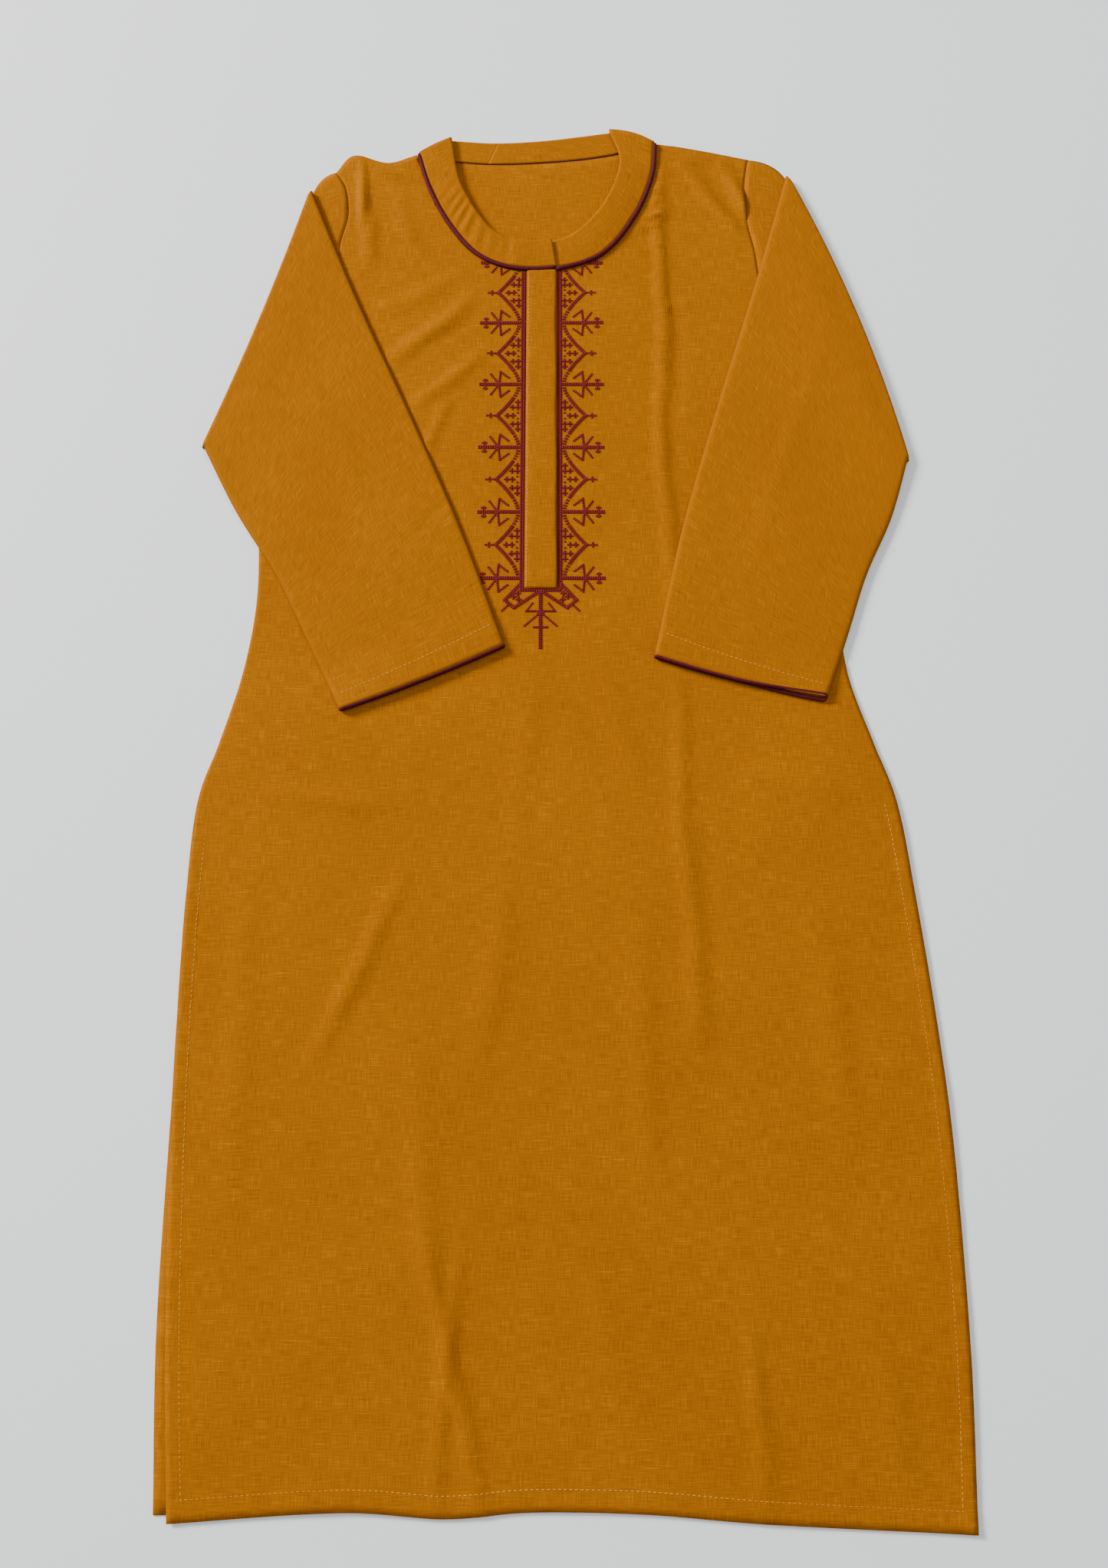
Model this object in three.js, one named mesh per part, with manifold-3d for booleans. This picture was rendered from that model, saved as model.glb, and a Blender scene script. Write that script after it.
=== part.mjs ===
// A kurta tunic laid flat on its back, with both sleeves folded over the front.
// Millimetres, +Z up. The origin is on the surface, under the middle of the garment, and +Y runs
// from the hem to the neck. "Left" and "right" are as seen from above.
import * as THREE from 'three';
import Module from 'manifold-3d';
import { mergeVertices } from 'three/addons/utils/BufferGeometryUtils.js';

const manifold = await Module();
manifold.setup();

// ---- Driving dimensions -------------------------------------------------------------------

const clothWall = 1.0; // every cloth wall
const seamGap = 0.3; // clear space between pieces at a seam, and between lying layers
const neckPipingRadius = 1.5;
const cuffPipingRadius = 1.2;

const frontLevel = clothWall + seamGap; // underside of the front, which lies on the back
const frontTop = frontLevel + clothWall;
const underlapLevel = frontTop + seamGap;
const placketLevel = underlapLevel + clothWall + seamGap;

const sleeveHalf = clothWall + seamGap / 2; // half the thickness of a flattened sleeve
const sleeveFoldRadius = 2.1; // from the fold's axis to the middle of the sleeve
const sleeveRest = frontTop + 2 * seamGap; // underside of a folded sleeve, lying on the front
const cuffHalf = 2 * cuffPipingRadius + seamGap / 2; // the piping holds the cuff this far open
const cuffOpenFrom = 0.8; // share of the folded length where the cuff starts to open
const edgeTurn = 3; // width of the rounded turn at a sleeve's two long edges

const bandFoldRadius = 2.2; // the neck band folds round this at both sides of the neck
const bandBackMiddle = clothWall / 2; // mid height of the back of the band
const bandFoldMiddle = bandBackMiddle + 2 * bandFoldRadius;
const tabEnd = 0.53; // share of the way round the front neck seam, from the left
const tabStart = 0.42;
const underTabEnd = 0.43; // the right half runs under the tab to here
const pipingJoin = 0.527; // the front piping's two halves meet at the tab's end
const shareGap = 0.003; // half the gap between two halves that meet, as a share of the neck
const backPipingWidth = 3;
const centreBack = 0.29; // share of the way round the back neck where the band's halves meet

const openingWidth = 1.5; // the cut that the placket covers
const openingX = -11;
const openingFoot = 140;

const columns = 24; // net of the front and back, across
const sideRows = { front: 16, back: 8 }; // rows from the hem to the underarm
const armholeSteps = 10; // rows from the underarm to the shoulder
const shoulderColumns = { front: 4, back: 5 };
const frontNeckSteps = columns - 2 * shoulderColumns.front;
const backNeckSteps = columns - 2 * shoulderColumns.back;
const cordSides = 6;

const mustard = new THREE.MeshStandardMaterial({ color: 0xb8720c, roughness: 0.85, metalness: 0 });
const maroon = new THREE.MeshStandardMaterial({ color: 0x4a0f18, roughness: 0.7, metalness: 0 });

// ---- Tables of sections -------------------------------------------------------------------

// The body's edges at each height, from just above the hem to the underarm.
const bodySections = [
  { y: -440, frontLeft: -279, backLeft: -286, right: 296.5 },
  { y: -280, frontLeft: -285, backLeft: -286, right: 293 },
  { y: -120, frontLeft: -285, backLeft: -285, right: 278 },
  { y: -42, frontLeft: -280, backLeft: -280, right: 267 },
  { y: 0, frontLeft: -267, backLeft: -267, right: 253 },
  { y: 60, frontLeft: -251, backLeft: -251, right: 235 },
  { y: 125, frontLeft: -243, backLeft: -243, right: 231 },
  { y: 200, frontLeft: -246, backLeft: -246, right: 238 },
];
const underarm = { left: { x: -252, y: 275 }, right: { x: 250, y: 271 } };

// The hem dips at the sides, and the back's is turned up a little higher.
const frontHem = [
  { x: -270, y: -559 },
  { x: -143, y: -552 },
  { x: -75, y: -556 },
  { x: -20, y: -552 },
  { x: 60, y: -553 },
  { x: 142, y: -559 },
  { x: 293, y: -566 },
];
const backHem = [
  { x: -280, y: -554 },
  { x: -140, y: -550 },
  { x: 0, y: -550 },
  { x: 142, y: -556 },
  { x: 291, y: -563 },
];

// Armhole seams, from the shoulder down to the underarm.
const leftArmhole = [
  { x: -194, y: 524 },
  { x: -185, y: 508 },
  { x: -182, y: 478 },
  { x: -187, y: 453 },
  { x: -190, y: 420 },
  { x: -198, y: 370 },
  { x: -217, y: 312 },
  underarm.left,
];
const rightArmhole = [
  { x: 171, y: 537 },
  { x: 167, y: 508 },
  { x: 167.5, y: 480 },
  { x: 174, y: 445 },
  { x: 178, y: 410 },
  { x: 187, y: 362 },
  { x: 208, y: 308 },
  underarm.right,
];

// Shoulder edges, from the armhole to the neck.
const leftShoulder = [
  { x: -194, y: 524 },
  { x: -180, y: 541 },
  { x: -148, y: 534 },
  { x: -123, y: 542 },
];
const rightShoulder = [
  { x: 91, y: 553 },
  { x: 125, y: 547 },
  { x: 171, y: 537 },
];

// The front neck seam, from the left fold of the band round to the right fold.
const frontNeckSeam = [
  { x: -121, y: 541 },
  { x: -110, y: 505 },
  { x: -92, y: 470 },
  { x: -68, y: 441.5 },
  { x: -40, y: 428.5 },
  { x: 0, y: 427.5 },
  { x: 40, y: 441 },
  { x: 70, y: 479.5 },
  { x: 86, y: 521 },
  { x: 89, y: 552 },
];

// The band's free edge over the front, between the same two folds.
const frontBandEdge = [
  { x: -92, y: 557 },
  { x: -83, y: 511 },
  { x: -57, y: 467 },
  { x: -38, y: 456 },
  { x: 0, y: 455.5 },
  { x: 20, y: 465 },
  { x: 44, y: 494 },
  { x: 57, y: 534 },
  { x: 48, y: 565 },
];

// The back neck seam and the band's free edge behind it, from the left fold to the right fold.
const backNeckSeam = [
  { x: -120, y: 540 },
  { x: -88, y: 535 },
  { x: -54, y: 532.5 },
  { x: 0, y: 535 },
  { x: 40, y: 540 },
  { x: 88, y: 551 },
];
const backBandEdge = [
  { x: -92, y: 557 },
  { x: -54, y: 554.5 },
  { x: -10, y: 557 },
  { x: 48, y: 565 },
];

// How high the middle of each band half stands, by its share of the way round the front neck.
const leftBandRise = [
  { share: 0, seam: bandFoldMiddle, edge: bandFoldMiddle },
  { share: 0.12, seam: 2.6, edge: 5.0 },
  { share: 0.3, seam: 2.2, edge: 5.0 },
  { share: tabStart, seam: 3.1, edge: 3.5 },
  { share: tabEnd, seam: 3.1, edge: 3.1 },
];
const rightBandRise = [
  { share: underTabEnd, seam: 1.8, edge: 1.8 },
  { share: tabEnd, seam: 1.8, edge: 1.8 },
  { share: 0.7, seam: 2.2, edge: 4.6 },
  { share: 0.88, seam: 2.6, edge: 5.0 },
  { share: 1, seam: bandFoldMiddle, edge: bandFoldMiddle },
];

// Sleeves. The armhole and cap rows lie flat, the sleeve turns over at the fold row, and the rest
// lie on the front. Each row runs from the top of the arm to the underarm seam. Bow is how far
// its middle stands back towards the elbow side.
const leftSleeve = {
  side: -1,
  armhole: leftArmhole,
  cap: { topX: -206, topY: 517 },
  rows: [
    { topX: -214, topY: 502, underX: -293.5, underY: 256, bow: -3 },
    { topX: -171, topY: 397, underX: -264, underY: 199, bow: -1 },
    { topX: -122, topY: 287, underX: -228, underY: 142, bow: 0 },
    { topX: -77, topY: 181, underX: -199, underY: 84, bow: 0 },
    { topX: -41, topY: 82, underX: -172, underY: 28, bow: -2 },
  ],
};
const rightSleeve = {
  side: 1,
  armhole: rightArmhole,
  cap: { topX: 191, topY: 531 },
  rows: [
    { topX: 204, topY: 517, underX: 293.5, underY: 244, bow: 8 },
    { topX: 172, topY: 407, underX: 277.5, underY: 193, bow: 3 },
    { topX: 138, topY: 297, underX: 254, underY: 142, bow: 0 },
    { topX: 105.5, topY: 185, underX: 236, underY: 90, bow: -1 },
    { topX: 80, topY: 73, underX: 217, underY: 38, bow: -3 },
  ],
};
const sleeveSteps = 10; // rings along the folded part
const acrossSteps = 10; // facets from edge to edge, as many as the armhole has

// The front's largest creases: soft ridges, each with its own line, half width and rise.
const creases = [
  { name: 'pressed fold', fromX: 92, fromY: 530, toX: 96, toY: 110, width: 16, rise: 1.5 },
  { name: 'pressed fold, skirt', fromX: 97, fromY: 20, toX: 104, toY: -180, width: 18, rise: 1.2 },
  { name: 'left chest', fromX: -75, fromY: 392, toX: -128, toY: 345, width: 18, rise: 1.6 },
  { name: 'left chest, lower', fromX: -62, fromY: 340, toX: -108, toY: 292, width: 16, rise: 1.2 },
  { name: 'right shoulder', fromX: 138, fromY: 505, toX: 160, toY: 462, width: 14, rise: 1.6 },
  { name: 'left shoulder', fromX: -168, fromY: 505, toX: -163, toY: 455, width: 14, rise: 1.4 },
  { name: 'left hip', fromX: -215, fromY: -40, toX: -130, toY: -55, width: 18, rise: 1.0 },
  { name: 'left skirt', fromX: -110, fromY: -110, toX: -175, toY: -240, width: 22, rise: 1.0 },
  { name: 'foot of skirt', fromX: -88, fromY: -385, toX: -55, toY: -520, width: 22, rise: 1.4 },
  { name: 'right skirt', fromX: 140, fromY: -430, toX: 150, toY: -530, width: 20, rise: 1.0 },
];

// The placket strip narrows very slightly towards the neck.
const placketSections = [
  { y: 131.5, left: -25.2, right: 1.2 },
  { y: 280, left: -24.8, right: 0.8 },
  { y: 425, left: -24.3, right: 0.4 },
];
const underlapSections = [
  { y: 138, left: -22, right: -2 },
  { y: 280, left: -22, right: -2 },
  { y: 424.5, left: -21.5, right: -2 },
];

// ---- Curves and offsets -------------------------------------------------------------------

const vector = (x, y, z = 0) => new THREE.Vector3(x, y, z);
const curveThrough = (rows) =>
  new THREE.CatmullRomCurve3(rows.map((row) => vector(row.x, row.y)), false, 'centripetal');
const spaced = (rows, steps) => curveThrough(rows).getSpacedPoints(steps);

// The points of a flat line, each moved to the left of the way the line runs.
function movedLeft(points, distance) {
  return points.map((point, index) => {
    const before = points[Math.max(index - 1, 0)];
    const after = points[Math.min(index + 1, points.length - 1)];
    const along = after.clone().sub(before).normalize();
    return point.clone().add(vector(-along.y, along.x).multiplyScalar(distance));
  });
}

// The point this share of the way along a line of evenly spaced points.
function pointAt(points, share) {
  const place = share * (points.length - 1);
  const index = Math.min(Math.floor(place), points.length - 2);
  return points[index].clone().lerp(points[index + 1], place - index);
}

// A value read between the rows of a table, by the column that is named as its share.
function readBetween(rows, share, column) {
  const next = Math.max(1, rows.findIndex((row) => row.share >= share - 1e-9));
  const low = rows[next - 1];
  const high = rows[next];
  const part = (share - low.share) / (high.share - low.share);
  return THREE.MathUtils.lerp(low[column], high[column], THREE.MathUtils.smoothstep(part, 0, 1));
}

// How far the creases lift the front at a place: a ridge fades sideways and at both its ends.
function creaseRise(x, y) {
  let rise = 0;
  for (const crease of creases) {
    const along = vector(crease.toX - crease.fromX, crease.toY - crease.fromY);
    const offset = vector(x - crease.fromX, y - crease.fromY);
    const share = offset.dot(along) / along.lengthSq();
    const aside = Math.abs(offset.x * along.y - offset.y * along.x) / along.length();
    if (share > 0 && share < 1 && aside < crease.width) {
      const across = (1 + Math.cos((Math.PI * aside) / crease.width)) / 2;
      rise += crease.rise * across * Math.sin(Math.PI * share);
    }
  }
  return rise;
}

// ---- Closed shells ------------------------------------------------------------------------

class Shell {
  constructor() {
    this.vertices = [];
    this.triangles = [];
  }

  add(point) {
    this.vertices.push(point);
    return this.vertices.length - 1;
  }

  quad(a, b, c, d) {
    this.triangles.push([a, b, c], [a, c, d]);
  }

  signedVolume() {
    let volume = 0;
    for (const [a, b, c] of this.triangles) {
      const cross = this.vertices[b].clone().cross(this.vertices[c]);
      volume += this.vertices[a].dot(cross) / 6;
    }
    return volume;
  }

  geometry() {
    const outward = this.signedVolume() > 0;
    const index = this.triangles.flatMap(([a, b, c]) => (outward ? [a, b, c] : [a, c, b]));
    const positions = this.vertices.flatMap((point) => point.toArray());
    const geometry = new THREE.BufferGeometry();
    geometry.setAttribute('position', new THREE.Float32BufferAttribute(positions, 3));
    geometry.setIndex(index);
    geometry.computeVertexNormals();
    return geometry;
  }
}

// A wall between two nets of points with the same rows and columns.
function wallBetween(underNet, overNet) {
  const shell = new Shell();
  const under = underNet.map((row) => row.map((point) => shell.add(point)));
  const over = overNet.map((row) => row.map((point) => shell.add(point)));
  const lastRow = under.length - 1;
  const lastColumn = under[0].length - 1;
  for (let i = 0; i < lastRow; i += 1) {
    for (let j = 0; j < lastColumn; j += 1) {
      shell.quad(over[i][j], over[i][j + 1], over[i + 1][j + 1], over[i + 1][j]);
      shell.quad(under[i][j], under[i + 1][j], under[i + 1][j + 1], under[i][j + 1]);
    }
    shell.quad(under[i][0], over[i][0], over[i + 1][0], under[i + 1][0]);
    shell.quad(under[i][lastColumn], under[i + 1][lastColumn], over[i + 1][lastColumn], over[i][lastColumn]);
  }
  for (let j = 0; j < lastColumn; j += 1) {
    shell.quad(under[0][j], under[0][j + 1], over[0][j + 1], over[0][j]);
    shell.quad(under[lastRow][j], over[lastRow][j], over[lastRow][j + 1], under[lastRow][j + 1]);
  }
  return shell.geometry();
}

// A round cord along a line of points. Its rings stand square to the line, turned so that one
// radius lies as near as it can to the given direction.
function cord(points, radius, direction, closed) {
  const shell = new Shell();
  const count = points.length;
  const rings = points.map((point, index) => {
    const before = closed ? points[(index + count - 1) % count] : points[Math.max(index - 1, 0)];
    const after = closed ? points[(index + 1) % count] : points[Math.min(index + 1, count - 1)];
    const along = after.clone().sub(before).normalize();
    const side = along.clone().cross(direction).normalize();
    const up = side.clone().cross(along);
    return Array.from({ length: cordSides }, (_, step) => {
      const angle = (2 * Math.PI * step) / cordSides;
      const offset = side.clone().multiplyScalar(radius * Math.cos(angle));
      return shell.add(point.clone().add(offset).addScaledVector(up, radius * Math.sin(angle)));
    });
  });
  const spans = closed ? count : count - 1;
  for (let i = 0; i < spans; i += 1) {
    const here = rings[i];
    const there = rings[(i + 1) % count];
    for (let j = 0; j < cordSides; j += 1) {
      const next = (j + 1) % cordSides;
      shell.quad(here[j], there[j], there[next], here[next]);
    }
  }
  if (!closed) {
    for (let j = 1; j < cordSides - 1; j += 1) {
      shell.triangles.push([rings[0][0], rings[0][j], rings[0][j + 1]]);
      shell.triangles.push([rings[count - 1][0], rings[count - 1][j + 1], rings[count - 1][j]]);
    }
  }
  return shell.geometry();
}

// A tube with a wall, from rings of outer and inner points, open at both ends.
function openTube(rings) {
  const shell = new Shell();
  const outer = rings.map((ring) => ring.outer.map((point) => shell.add(point)));
  const inner = rings.map((ring) => ring.inner.map((point) => shell.add(point)));
  const around = outer[0].length;
  const last = rings.length - 1;
  for (let j = 0; j < around; j += 1) {
    const next = (j + 1) % around;
    for (let i = 0; i < last; i += 1) {
      shell.quad(outer[i][j], outer[i + 1][j], outer[i + 1][next], outer[i][next]);
      shell.quad(inner[i][j], inner[i][next], inner[i + 1][next], inner[i + 1][j]);
    }
    shell.quad(outer[0][j], outer[0][next], inner[0][next], inner[0][j]);
    shell.quad(outer[last][j], inner[last][j], inner[last][next], outer[last][next]);
  }
  return shell.geometry();
}

function asSolid(geometry) {
  const bare = geometry.clone();
  bare.deleteAttribute('normal');
  bare.deleteAttribute('uv');
  const merged = mergeVertices(bare);
  const vertProperties = merged.attributes.position.array;
  const triVerts = new Uint32Array(merged.index.array);
  return new manifold.Manifold(new manifold.Mesh({ numProp: 3, vertProperties, triVerts }));
}

function cutFrom(geometry, tool) {
  const mesh = asSolid(geometry).subtract(asSolid(tool)).getMesh();
  const cut = new THREE.BufferGeometry();
  cut.setAttribute('position', new THREE.BufferAttribute(mesh.vertProperties, 3));
  cut.setIndex(new THREE.BufferAttribute(mesh.triVerts, 1));
  cut.computeVertexNormals();
  return cut;
}

// ---- Front and back panels ----------------------------------------------------------------

// The net of a panel, blended from its four edges: hem and top run left to right, sides run up.
function panelNet(hem, top, left, right) {
  const lastColumn = hem.length - 1;
  const lastRow = left.length - 1;
  return left.map((leftPoint, i) => {
    const up = i / lastRow;
    return hem.map((hemPoint, j) => {
      const across = j / lastColumn;
      const point = hemPoint.clone().multiplyScalar(1 - up).addScaledVector(top[j], up);
      point.addScaledVector(leftPoint, 1 - across).addScaledVector(right[i], across);
      point.addScaledVector(hem[0], -(1 - up) * (1 - across));
      point.addScaledVector(hem[lastColumn], -(1 - up) * across);
      point.addScaledVector(top[0], -up * (1 - across));
      return point.addScaledVector(top[lastColumn], -up * across);
    });
  });
}

// One side edge: the slit and side seam up to the underarm, then the armhole to the shoulder.
function sideEdge(corner, column, end, armhole, rows) {
  const seam = [corner, ...bodySections.map((row) => ({ x: row[column], y: row.y })), end];
  const armholePoints = spaced(armhole, armholeSteps).reverse();
  return [...spaced(seam, rows).slice(0, -1), ...armholePoints];
}

// The top edge, with the given neck line between the shoulders.
function topEdge(neckLine, shoulderSteps) {
  const left = spaced(leftShoulder, shoulderSteps);
  const right = spaced(rightShoulder, shoulderSteps);
  return [...left, ...neckLine.slice(1, -1), ...right];
}

function panel(hem, leftColumn, rows, neckLine, shoulderSteps, level, rise) {
  const left = sideEdge(hem[0], leftColumn, underarm.left, leftArmhole, rows);
  const right = sideEdge(hem[hem.length - 1], 'right', underarm.right, rightArmhole, rows);
  const net = panelNet(spaced(hem, columns), topEdge(neckLine, shoulderSteps), left, right);
  const at = (height) => net.map((row) => row.map(({ x, y }) => vector(x, y, height + rise(x, y))));
  return wallBetween(at(level), at(level + clothWall));
}

const frontNeckLine = spaced(frontNeckSeam, frontNeckSteps); // middle of the front piping
const backNeckLine = spaced(backNeckSeam, backNeckSteps);
const besideCord = neckPipingRadius + seamGap;

function frontPanel() {
  const edge = movedLeft(frontNeckLine, -besideCord);
  const whole = panel(frontHem, 'frontLeft', sideRows.front, edge, shoulderColumns.front, frontLevel, creaseRise);
  const openingTop = 440;
  const length = openingTop - openingFoot;
  const opening = new THREE.BoxGeometry(openingWidth, length, 4 * clothWall);
  opening.translate(openingX, openingFoot + length / 2, frontLevel);
  return cutFrom(whole, opening);
}

function backPanel() {
  const flat = () => 0;
  return panel(backHem, 'backLeft', sideRows.back, backNeckLine, shoulderColumns.back, 0, flat);
}

// ---- Sleeves ------------------------------------------------------------------------------

// One ring of a flattened sleeve. The line runs edge to edge through its middle, up is the way
// from its middle to the front layer, and half is half its thickness.
function sleeveRing(line, up, half) {
  const last = line.length - 1;
  const lift = (point, distance) => point.clone().addScaledVector(up, distance);
  const inward = (from, to, distance) => from.clone().lerp(to, distance / from.distanceTo(to));
  const loop = (distance, set) => {
    const near = inward(line[0], line[1], set);
    const far = inward(line[last], line[last - 1], set);
    const over = line.slice(1, last).map((point) => lift(point, distance));
    const under = line.slice(1, last).map((point) => lift(point, -distance));
    return [near, ...over, far, ...under.reverse()];
  };
  return { outer: loop(half, 0), inner: loop(half - clothWall, clothWall * 1.5) };
}

// Shares of the way across at which a ring of this length has its points.
function acrossShares(length) {
  const turn = edgeTurn / length;
  const even = Array.from({ length: acrossSteps - 1 }, (_, step) => (step + 1) / acrossSteps);
  return [0, turn, ...even, 1 - turn, 1];
}

// The way the sleeve ran before it was folded, square to a line from its top to its underarm.
function outwardFrom(top, under, side) {
  const along = under.clone().sub(top).normalize();
  return vector(along.y, -along.x).multiplyScalar(-side);
}

function sleeveShape(sleeve) {
  const topCurve = curveThrough(sleeve.rows.map((row) => ({ x: row.topX, y: row.topY })));
  const underCurve = curveThrough(sleeve.rows.map((row) => ({ x: row.underX, y: row.underY })));
  const bows = sleeve.rows.map((row, index) => ({
    share: index / (sleeve.rows.length - 1),
    bow: row.bow,
  }));
  const foldedLine = (share) => {
    const top = topCurve.getPoint(share);
    const under = underCurve.getPoint(share);
    const outward = outwardFrom(top, under, sleeve.side);
    const bow = readBetween(bows, share, 'bow');
    return acrossShares(top.distanceTo(under)).map((across) => {
      const middle = top.clone().lerp(under, across);
      return middle.addScaledVector(outward, bow * 4 * across * (1 - across));
    });
  };
  return { foldedLine, topCurve, underCurve };
}

function sleeveWall(sleeve) {
  const { foldedLine, topCurve, underCurve } = sleeveShape(sleeve);
  const outward = outwardFrom(topCurve.getPoint(0), underCurve.getPoint(0), sleeve.side);
  const up = vector(0, 0, 1);
  const raised = (line, height) => line.map((point) => point.clone().setZ(height));
  const foldLine = foldedLine(0);

  const seam = movedLeft(spaced(sleeve.armhole, acrossSteps), sleeve.side * seamGap);
  const beforeEnd = (from, to) => from.clone().lerp(to, edgeTurn / from.distanceTo(to));
  const armholeLine = [
    seam[0],
    beforeEnd(seam[0], seam[1]),
    ...seam.slice(1, -1),
    beforeEnd(seam[acrossSteps], seam[acrossSteps - 1]),
    seam[acrossSteps],
  ];
  const capShift = vector(sleeve.cap.topX, sleeve.cap.topY).sub(armholeLine[0].clone().lerp(foldLine[0], 0.5));
  const capLine = armholeLine.map((point, index) =>
    point.clone().lerp(foldLine[index], 0.5).addScaledVector(capShift, (1 - index / (armholeLine.length - 1)) ** 3),
  );
  const rings = [armholeLine, capLine].map((line) => sleeveRing(raised(line, sleeveHalf), up, sleeveHalf));

  for (let turn = 0; turn <= Math.PI + 1e-9; turn += Math.PI / 4) {
    const height = sleeveHalf + sleeveFoldRadius * (1 - Math.cos(turn));
    const line = raised(foldLine, height).map((point) =>
      point.addScaledVector(outward, sleeveFoldRadius * Math.sin(turn)),
    );
    const towardFront = up.clone().multiplyScalar(Math.cos(turn));
    rings.push(sleeveRing(line, towardFront.addScaledVector(outward, -Math.sin(turn)), sleeveHalf));
  }

  const foldedOver = sleeveHalf + 2 * sleeveFoldRadius;
  for (let step = 1; step <= sleeveSteps; step += 1) {
    const share = step / sleeveSteps;
    const opening = THREE.MathUtils.smoothstep(share, cuffOpenFrom, 1);
    const half = THREE.MathUtils.lerp(sleeveHalf, cuffHalf, opening);
    const settled = THREE.MathUtils.smoothstep(share, 0, 0.3);
    const height = THREE.MathUtils.lerp(foldedOver, sleeveRest + half, settled);
    rings.push(sleeveRing(raised(foldedLine(share), height), up.clone().negate(), half));
  }
  return openTube(rings);
}

// The cuff's piping: a closed loop just past the cuff's edge, over the top and back underneath.
function cuffPiping(sleeve) {
  const { foldedLine, topCurve, underCurve } = sleeveShape(sleeve);
  const top = topCurve.getPoint(1);
  const under = underCurve.getPoint(1);
  const outward = outwardFrom(top, under, sleeve.side);
  const along = under.clone().sub(top).normalize();
  const turnRadius = cuffPipingRadius + seamGap / 2;
  const setIn = turnRadius + cuffPipingRadius;
  const height = sleeveRest + cuffHalf;
  const cuffLine = foldedLine(1).map((point) =>
    point.addScaledVector(outward, -(cuffPipingRadius + seamGap)).setZ(height),
  );
  const run = cuffLine.slice(2, -2);
  run.unshift(cuffLine[0].clone().addScaledVector(along, setIn));
  run.push(cuffLine[cuffLine.length - 1].clone().addScaledVector(along, -setIn));
  const end = run[run.length - 1];
  const turnAt = (centre, sign, angle) =>
    centre
      .clone()
      .addScaledVector(along, sign * turnRadius * Math.sin(angle))
      .setZ(height + sign * turnRadius * Math.cos(angle));
  const over = run.map((point) => point.clone().setZ(height + turnRadius));
  const back = run.map((point) => point.clone().setZ(height - turnRadius)).reverse();
  const angles = [Math.PI / 4, Math.PI / 2, (3 * Math.PI) / 4];
  const farTurn = angles.map((angle) => turnAt(end, 1, angle));
  const nearTurn = angles.map((angle) => turnAt(run[0], -1, angle));
  return cord([...over, ...farTurn, ...back, ...nearTurn], cuffPipingRadius, outward, true);
}

// ---- Neck band ----------------------------------------------------------------------------

// One section across the band: points from its seam edge to its free edge, and the way its
// outer face looks.
function bandSection(seam, edge, up) {
  const steps = 3;
  const points = Array.from({ length: steps + 1 }, (_, step) => seam.clone().lerp(edge, step / steps));
  const offset = (sign) => points.map((point) => point.clone().addScaledVector(up, (sign * clothWall) / 2));
  return { under: offset(-1), over: offset(1) };
}

// Half of the band: over the front to the fold, round the fold, and along the back to the
// centre-back seam. Its two ends and its fold are given as shares of the neck, from the left.
function bandHalf(frontEnd, foldShare, rises, backEnd, side) {
  const frontShares = sharesBetween(frontEnd, foldShare, frontNeckSteps);
  const backShares = sharesBetween(foldShare, backEnd, backNeckSteps).slice(1);
  const frontSeam = movedLeft(frontNeckLine, besideCord);
  const edgeCurve = curveThrough(frontBandEdge);
  const up = vector(0, 0, 1);
  const sections = frontShares.map((share) => {
    const seam = pointAt(frontSeam, share).setZ(readBetween(rises, share, 'seam'));
    const edge = edgeCurve.getPointAt(share).setZ(readBetween(rises, share, 'edge'));
    return bandSection(seam, edge, up);
  });

  const foldSeam = pointAt(frontSeam, foldShare);
  const foldEdge = edgeCurve.getPointAt(foldShare);
  const along = foldEdge.clone().sub(foldSeam).normalize();
  const outward = vector(-along.y, along.x).multiplyScalar(side);
  for (let turn = Math.PI / 4; turn < Math.PI + 1e-9; turn += Math.PI / 4) {
    const height = bandBackMiddle + bandFoldRadius * (1 + Math.cos(turn));
    const bulge = bandFoldRadius * Math.sin(turn);
    const place = (point) => point.clone().addScaledVector(outward, bulge).setZ(height);
    const facing = up.clone().multiplyScalar(Math.cos(turn)).addScaledVector(outward, Math.sin(turn));
    sections.push(bandSection(place(foldSeam), place(foldEdge), facing));
  }

  const backSeam = movedLeft(backNeckLine, backPipingWidth + seamGap);
  const backEdge = curveThrough(backBandEdge);
  for (const share of backShares) {
    const seam = pointAt(backSeam, share).setZ(bandBackMiddle);
    const edge = backEdge.getPointAt(share).setZ(bandBackMiddle);
    sections.push(bandSection(seam, edge, up.clone().negate()));
  }
  return wallBetween(sections.map((section) => section.under), sections.map((section) => section.over));
}

// The shares of the given number of even steps that lie between two shares, with those two at
// the ends, running from the first to the second.
function sharesBetween(from, to, steps) {
  const low = Math.min(from, to) + shareGap;
  const high = Math.max(from, to) - shareGap;
  const even = Array.from({ length: steps + 1 }, (_, step) => step / steps);
  const inside = even.filter((share) => share > low && share < high);
  return from < to ? [from, ...inside, to] : [from, ...inside.reverse(), to];
}

function frontPiping(from, to) {
  const height = frontLevel + neckPipingRadius;
  const shares = sharesBetween(from, to, frontNeckSteps);
  const points = shares.map((share) => pointAt(frontNeckLine, share).setZ(height));
  return cord(points, neckPipingRadius, vector(0, 0, 1), false);
}

// At the back the piping lies pressed flat in the seam, between the panel and the band.
function backPiping() {
  const low = movedLeft(backNeckLine, seamGap).slice(1, -1);
  const high = movedLeft(backNeckLine, backPipingWidth).slice(1, -1);
  const net = (height) => low.map((_, i) => [low[i].clone().setZ(height), high[i].clone().setZ(height)]);
  return wallBetween(net(seamGap / 2), net(clothWall));
}

// ---- Placket ------------------------------------------------------------------------------

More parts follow.
